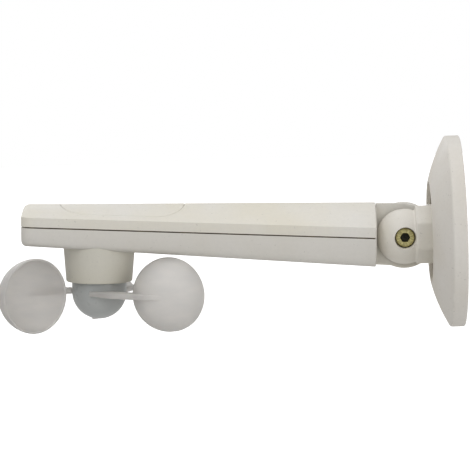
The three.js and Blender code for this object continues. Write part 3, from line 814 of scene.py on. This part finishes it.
def hinge_screw():
    """Socket cap screw with its knurled head towards -Y."""
    seat = -SCREW_HEAD_TOP + SCREW_HEAD_H
    corners = [(0, -SCREW_HEAD_TOP), (SCREW_HEAD_R, -SCREW_HEAD_TOP), (SCREW_HEAD_R, seat),
               (SCREW_R, seat), (SCREW_R, SCREW_TIP), (0, SCREW_TIP)]
    profile = rounded(corners, [0, 0.55, 0.2, 0.2, 0.4, 0])
    rings = []
    steps = 144
    for i in range(steps):
        a = 2 * math.pi * i / steps
        ring = []
        for r, h in profile:
            on_knurl = r > SCREW_HEAD_R - 0.02 and -SCREW_HEAD_TOP + 0.7 < h < seat
            r -= 0.16 * (i % 4 in (1, 2)) * on_knurl
            ring.append((r * math.cos(a), r * math.sin(a), h))
        rings.append(ring)
    screw = loft("socket_screw", rings, None, ring_closed=True)
    lead_in = [(0, -SCREW_HEAD_TOP - 1), (3.4, -SCREW_HEAD_TOP - 1), (1.85, -SCREW_HEAD_TOP + 0.3),
               (0, -SCREW_HEAD_TOP + 0.3)]
    cut(screw, turned("cutter", lead_in, None, 64))
    cut(screw, prism("cutter", hexagon(HEX_KEY), -SCREW_HEAD_TOP - 1, -SCREW_HEAD_TOP + HEX_DEPTH))
    return put(screw, ARM @ ALONG_SCREW)


def hinge_nut():
    nut = prism("lock_nut", hexagon(NUT_FLATS), NUT_IN, NUT_OUT)
    flat = NUT_FLATS / 2
    chamfer = [(0, NUT_IN), (flat, NUT_IN), (flat + 0.9, NUT_IN + 0.4), (flat + 0.9, NUT_OUT - 0.4),
               (flat, NUT_OUT), (0, NUT_OUT)]
    within(nut, turned("cutter", chamfer, None, 96))
    cut(nut, rod(SCREW_R + 0.1, 0, 20))
    return put(nut, ARM @ ALONG_SCREW)


def friction_disc():
    half = PARTING - GAP
    bore = SCREW_R + GAP
    corners = [(bore, -half), (DISC_R, -half), (DISC_R, half), (bore, half)]
    return turned("friction_washer", rounded(corners, [0.15, 0.2, 0.2, 0.15]), ARM @ ACROSS, 96)


# ---------------------------------------------------------------- wall base
def cover_front(share):
    """A point on the cover's domed front, from its rim to its opening."""
    bulge = 4 * COVER_BULGE * share * (1 - share)
    return (COVER_R + (OPENING_R - COVER_R) * share, COVER_RIM + (COVER_DEPTH - COVER_RIM) * share + bulge)


def rosette_cover():
    slope = (COVER_DEPTH - COVER_RIM) / (COVER_R - OPENING_R)
    lift = COVER_WALL * math.hypot(1, slope)
    inner = COVER_R - COVER_WALL
    rim_inside = COVER_RIM - lift + COVER_WALL * slope
    front = [cover_front(i / 14) for i in range(1, 14)]
    corners = [(inner, 0), (COVER_R, 0), (COVER_R, COVER_RIM), *front, (OPENING_R, COVER_DEPTH),
               (OPENING_R, COVER_DEPTH - lift), (inner, rim_inside)]
    radii = [0.3, 0.6, 1.8, *[0] * len(front), 0.8, 0.4, 0.8]
    return turned("rosette", rounded(corners, radii, 6), WALL_AXIS, 160)


def wall_plate():
    corners = [(0, 0), (PLATE_R, 0), (PLATE_R, PLATE_LIP), (PLATE_R - 2, PLATE_LIP), (PLATE_R - 2, PLATE_T),
               (0, PLATE_T)]
    plate = turned("mounting_plate", rounded(corners, [0, 0.5, 0.4, 0.4, 0.4, 0]), None, 144)
    for angle in (45, 135, 225, 315):
        a = math.radians(angle)
        place = Matrix.Translation((PLATE_HOLE_AT * math.sin(a), PLATE_HOLE_AT * math.cos(a), 0))
        hole = [(0, -1), (PLATE_HOLE_R + 0.3, -1), (PLATE_HOLE_R, 0.3), (PLATE_HOLE_R, 1.4),
                (PLATE_SINK_R, PLATE_T + 0.1), (0, PLATE_T + 0.1)]
        cut(plate, turned("cutter", hole, place, 48))
    return put(plate, WALL_AXIS)


# ---------------------------------------------------------------- rotor socket and rotor
def rotor_socket():
    top = 4
    slope = (SOCKET_TOP_R - SOCKET_BOTTOM_R) / (-1 - SOCKET_BOTTOM)
    top_r = SOCKET_TOP_R + slope * (top + 1)
    corners = [(0, SOCKET_BOTTOM), (SOCKET_BOTTOM_R, SOCKET_BOTTOM), (top_r, top), (0, top)]
    cone = turned("rotor_collar", rounded(corners, [0, 0.7, 0, 0], 5), None, 144)
    put(cone, Matrix.Translation((-ROTOR_U, 0, 0)))
    cut(cone, arm_body("cutter", whole_ring, inset=-0.04))
    spigot = rod(SPIGOT_R, -9, -2.6, Matrix.Translation((-ROTOR_U, 0, 0)), 96)
    join(cone, spigot)
    mouth = HUB_R + 0.9
    roof = HUB_TOP + 0.8
    lower_roof = BEARING_AT[1] + GAP
    seat = BEARING_R + GAP
    shaft_room = SHAFT_R + 0.8
    upper_floor = BEARING_AT[0] - BEARING_T
    bore = [(0, SOCKET_BOTTOM - 2), (mouth + 1, SOCKET_BOTTOM - 2), (mouth + 0.5, SOCKET_BOTTOM - 0.1),
            (mouth, SOCKET_BOTTOM + 0.5), (mouth, roof), (seat, roof), (seat, lower_roof),
            (shaft_room, lower_roof), (shaft_room, upper_floor), (seat, upper_floor), (seat, 1), (0, 1)]
    cut(cone, turned("cutter", bore, Matrix.Translation((-ROTOR_U, 0, 0)), 96))
    return put(cone, ARM)


def rotor_hub():
    """The dome and its boss, turned as one outline with the shaft's blind bore."""
    inner = HUB_R - HUB_WALL
    bore = SHAFT_R + 0.02
    boss_top = DOME_CENTRE + 1.2
    bore_floor = DOME_CENTRE - 5 - GAP
    outside = arc((0, DOME_CENTRE), HUB_R, -90, 0, 30)
    outside[0] = (0, outside[0][1])
    inside = arc((0, DOME_CENTRE), inner, 0, -math.degrees(math.acos(HUB_BOSS_R / inner)), 24)
    rim = [(HUB_R, HUB_TOP - 0.4), (HUB_R - 0.4, HUB_TOP), (inner + 0.3, HUB_TOP), (inner, HUB_TOP - 0.3)]
    boss = [(HUB_BOSS_R, boss_top), (bore, boss_top), (bore, bore_floor), (0, bore_floor)]
    return turned("rotor_dome", [*outside, *rim, *inside, *boss], ROTOR, 144)


def cup_profile():
    """Half a sphere's wall with a rounded lip: the apex is up and the lip at height 0."""
    inner = CUP_R - CUP_WALL
    outside = arc((0, 0), CUP_R, 2, 90, 46)
    inside = arc((0, 0), inner, 90, 2, 46)
    outside[-1] = (0, CUP_R)
    inside[0] = (0, inner)
    lip = arc((CUP_R - CUP_WALL / 2, CUP_WALL / 2), CUP_WALL / 2, 180, 360, 10)
    return [*outside, *inside, *lip[1:-1]]


def rotor_cup(index, angle):
    orbit = Matrix.Translation((CUP_ORBIT, 0, 0))
    cup = turned(f"wind_cup_{index + 1}", cup_profile(), orbit @ ACROSS, 112)
    far = CUP_ORBIT + 5.5
    corners = [(0.5, -HUB_R - 0.2), (5, -13.6), (9.2, -16), (13.5, -BLADE_OUT), (CUP_ORBIT, -BLADE_OUT),
               (far, -CUP_R + 1), (far - 2, -CUP_R + 5), (CUP_ORBIT - 8, -7), (CUP_ORBIT - 15, -BLADE_IN),
               (14, -BLADE_IN), (8, -7), (5, -5)]
    outline = rounded(corners, [0, 3, 4, 6, 8, 2, 2, 0, 3, 5, 2, 0], 5)
    blade = soften(prism("cutter", outline, -BLADE_T / 2, BLADE_T / 2), 0.4, 3)
    cut(blade, rod(HUB_R + 0.12, -5, 5, None, 96))
    bowl = turned("cutter", ball_profile(CUP_R - CUP_WALL / 2), orbit, 96)
    cut(blade, bowl)
    join(cup, blade)
    return put(cup, ROTOR @ Matrix.Translation((0, 0, CUP_Z)) @ Matrix.Rotation(angle, 4, "Z"))


def bearing(name, top):
    """A shielded ball bearing: two rings with a shield groove between them."""
    low = top - BEARING_T
    bore = SHAFT_R + 0.02
    corners = [(bore, low), (bore + 0.5, low), (bore + 0.55, low + 0.25), (BEARING_R - 0.55, low + 0.25),
               (BEARING_R - 0.5, low), (BEARING_R, low), (BEARING_R, top), (BEARING_R - 0.5, top),
               (BEARING_R - 0.55, top - 0.25), (bore + 0.55, top - 0.25), (bore + 0.5, top), (bore, top)]
    radii = [0.1, 0.05, 0, 0, 0.05, 0.2, 0.2, 0.05, 0, 0, 0.05, 0.1]
    return turned(name, rounded(corners, radii, 3), ROTOR, 72)


def rotor_shaft():
    corners = [(0, DOME_CENTRE - 5), (SHAFT_R, DOME_CENTRE - 5), (SHAFT_R, BEARING_AT[0] + 1.6),
               (0, BEARING_AT[0] + 1.6)]
    return turned("spindle", rounded(corners, [0, 0.3, 0.3, 0]), ROTOR, 64)


# ---------------------------------------------------------------- inside the battery bay
def cell(name, side):
    shoulder = CELL_LENGTH - CELL_TIP_H
    corners = [(0, 0), (CELL_R, 0), (CELL_R, shoulder), (CELL_TIP_R, shoulder), (CELL_TIP_R, CELL_LENGTH),
               (0, CELL_LENGTH)]
    body = turned(name, rounded(corners, [0, 0.6, 0.6, 0.1, 0.3, 0]), None, 72)
    flip = 1 if side > 0 else -1
    place = Matrix.Translation((-LID_U - flip * CELL_LENGTH / 2, side * CELL_Y, CELL_Z))
    return put(body, ARM @ place @ Matrix.Rotation(flip * math.pi / 2, 4, "Y"))


def coil_spring(name, side):
    """A conical contact spring of round wire, with its small end against the cell."""
    turns = 2.5
    steps = 120
    wire = 0.17
    u = LID_U + side * (CELL_LENGTH / 2 + 1.3)
    flip = 1 if side > 0 else -1
    rings = []
    for i in range(steps + 1):
        share = i / steps
        a = 2 * math.pi * turns * share
        radius = 2.4 - 1.1 * share
        out = Vector((math.cos(a), math.sin(a), 0))
        centre = out * radius + Vector((0, 0, -0.33 + 0.73 * share))
        corners = [2 * math.pi * k / 10 for k in range(10)]
        up = Vector((0, 0, 1))
        rings.append([centre + out * (wire * math.cos(b)) + up * (wire * math.sin(b)) for b in corners])
    place = Matrix.Translation((-u, side * CELL_Y, CELL_Z)) @ Matrix.Rotation(flip * math.pi / 2, 4, "Y")
    return loft(name, rings, ARM @ place)


# ---------------------------------------------------------------- assembly
dress(upper_shell(), "shell", "arm", "shell_plastic", "upper_shell")
dress(lid(), "shell", "lid", "shell_plastic", "battery_lid")
# the lower shell takes the darker copy of the shell plastic, which paints the shade under the arm
dress(lower_shell(), "lower", "arm", "shell_plastic", "lower_shell")
dress(case_seal(), "seal", "arm", "rubber_seal", "case_seal")
for number, (screw_u, screw_y) in enumerate(CASE_SCREWS):
    dress(case_screw(number, screw_u, screw_y), "steel", "arm", "steel", f"case_screw_{number + 1}")
dress(hinge_block(), "shell", "arm", "shell_plastic", "hinge_block")
dress(pivot_bracket(), "bracket", "bracket", "base_plastic", "pivot_bracket")
# the hinge screw's hexagon socket gets a dark material as painted shade
shade_hex_socket(dress(hinge_screw(), "zinc", "bracket", "yellow_zinc", "hinge_screw"))
dress(hinge_nut(), "steel", "arm", "steel", "hinge_nut")
dress(friction_disc(), "disc", "arm", "rubber_seal", "friction_disc")
dress(rosette_cover(), "base", "wall_mount", "base_plastic", "rosette_cover")
dress(wall_plate(), "base", "wall_mount", "base_plastic", "wall_plate")
dress(rotor_socket(), "socket", "arm", "socket_plastic", "rotor_socket")
dress(rotor_hub(), "hub", "rotor", "hub_plastic", "rotor_hub")
for number, cup_angle in enumerate(CUP_ANGLES):
    dress(rotor_cup(number, cup_angle), "cup", "rotor", "cup_plastic", f"cup_{number + 1}")
dress(bearing("ball_bearing_upper", BEARING_AT[0]), "bearing", "arm", "steel", "bearing_upper")
dress(bearing("ball_bearing_lower", BEARING_AT[1]), "bearing", "arm", "steel", "bearing_lower")
dress(rotor_shaft(), "bearing", "rotor", "steel", "rotor_shaft")
dress(cell("cell_near", -1), "jacket", "arm", "battery_jacket", "battery_near")
dress(cell("cell_far", 1), "jacket", "arm", "battery_jacket", "battery_far")
dress(coil_spring("coil_contact_near", -1), "contact", "arm", "steel", "spring_contact_near")
dress(coil_spring("coil_contact_far", 1), "contact", "arm", "steel", "spring_contact_far")

KEPT_NODES = {"battery_tray": "inner", "circuit_board": "board", "radio_module": "shield",
              "processor": "chip", "shaft_clip": "steel", "ring_magnet": "magnet", "pulse_sensor": "chip"}
for node, look in KEPT_NODES.items():
    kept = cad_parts[node]
    kept.data.materials.clear()
    kept.data.materials.append(LOOKS[look])


# ---------------------------------------------------------------- floor, light and camera
FLOOR_Z = -2
FLOOR_SIZE = 30
FLOOR_FILL = 0.14
SKY = 0.5


def seen(tree):
    """1 on a path straight from the camera or through a translucent piece, and 0 on any other."""
    path = tree.nodes.new("ShaderNodeLightPath")
    either = tree.nodes.new("ShaderNodeMath")
    either.operation = "MAXIMUM"
    tree.links.new(path.outputs["Is Camera Ray"], either.inputs[0])
    tree.links.new(path.outputs["Is Transmission Ray"], either.inputs[1])
    return either.outputs["Value"]


def backdrop_material():
    """Pale floor paint, lit evenly where the camera sees it and dimmer where the object does."""
    s = Surface("floor_paint")
    paint = s.blend(s.noise(200, 2), linear((236, 235, 233)), linear((232, 231, 229)))
    s.link(paint, s.shader.inputs["Base Color"])
    s.set(Roughness=0.9)
    glow = s.between(seen(s.material.node_tree), 0, 1, FLOOR_FILL, 1.0)
    s.shader.inputs["Emission Color"].default_value = (1, 1, 1, 1)
    s.link(glow, s.shader.inputs["Emission Strength"])
    return s.material


floor_bm = bmesh.new()
bmesh.ops.create_grid(floor_bm, x_segments=8, y_segments=8, size=FLOOR_SIZE)
floor = mesh_object("floor", floor_bm, Matrix.Translation((0, 0, FLOOR_Z / MM)))
floor.data.materials.append(backdrop_material())

world = bpy.data.worlds.new("studio")
bpy.context.scene.world = world
world.use_nodes = True
backdrop = world.node_tree.nodes["Background"]
backdrop.inputs["Color"].default_value = (1, 1, 1, 1)
world_range = world.node_tree.nodes.new("ShaderNodeMapRange")
world_range.inputs["To Min"].default_value = SKY
world_range.inputs["To Max"].default_value = 1.0
world.node_tree.links.new(seen(world.node_tree), world_range.inputs["Value"])
world.node_tree.links.new(world_range.outputs["Result"], backdrop.inputs["Strength"])

low, high = cad_box
centre = (low + high) / 2


def softbox(name, offset, size, power):
    """A square studio light that faces the object."""
    data = bpy.data.lights.new(name, "AREA")
    data.size = size
    data.energy = power
    light = bpy.data.objects.new(name, data)
    light.location = centre + Vector(offset)
    light.rotation_mode = "QUATERNION"
    light.rotation_quaternion = Vector(offset).to_track_quat("Z", "Y")
    bpy.context.scene.collection.objects.link(light)
    return light


softbox("key_light", (-0.5, -1.0, 0.9), 0.9, 4.5)
softbox("top_light", (0.1, 0.1, 1.3), 1.2, 5.3)
softbox("fill_light", (0.9, -0.9, 0.1), 0.8, 3.1)
softbox("rear_light", (-0.5, 1.1, 0.5), 0.9, 3)

DISTANCE = 1.35
AZIMUTH = math.radians(0.3)
ELEVATION = math.radians(5.3)
ROLL = math.radians(2)
FRAME_WIDTH = 0.2115  # how much of the plane through the object fills the frame
AIM = Vector((-0.1018, 0, 0.0016))
SENSOR = 36

camera_data = bpy.data.cameras.new("camera")
camera_data.sensor_width = SENSOR
camera_data.lens = SENSOR * DISTANCE / FRAME_WIDTH
camera_data.clip_start = 0.05
camera_data.clip_end = 100
camera = bpy.data.objects.new("camera", camera_data)
bpy.context.scene.collection.objects.link(camera)
level = Vector((math.sin(AZIMUTH), -math.cos(AZIMUTH), 0))
back = level * math.cos(ELEVATION) + Vector((0, 0, math.sin(ELEVATION)))
camera.location = AIM + back * DISTANCE
camera.rotation_mode = "QUATERNION"
roll = Matrix.Rotation(-ROLL, 4, "Z").to_quaternion()
camera.rotation_quaternion = (-back).to_track_quat("-Z", "Y") @ roll
bpy.context.scene.camera = camera
bpy.context.scene.view_settings.view_transform = "Standard"
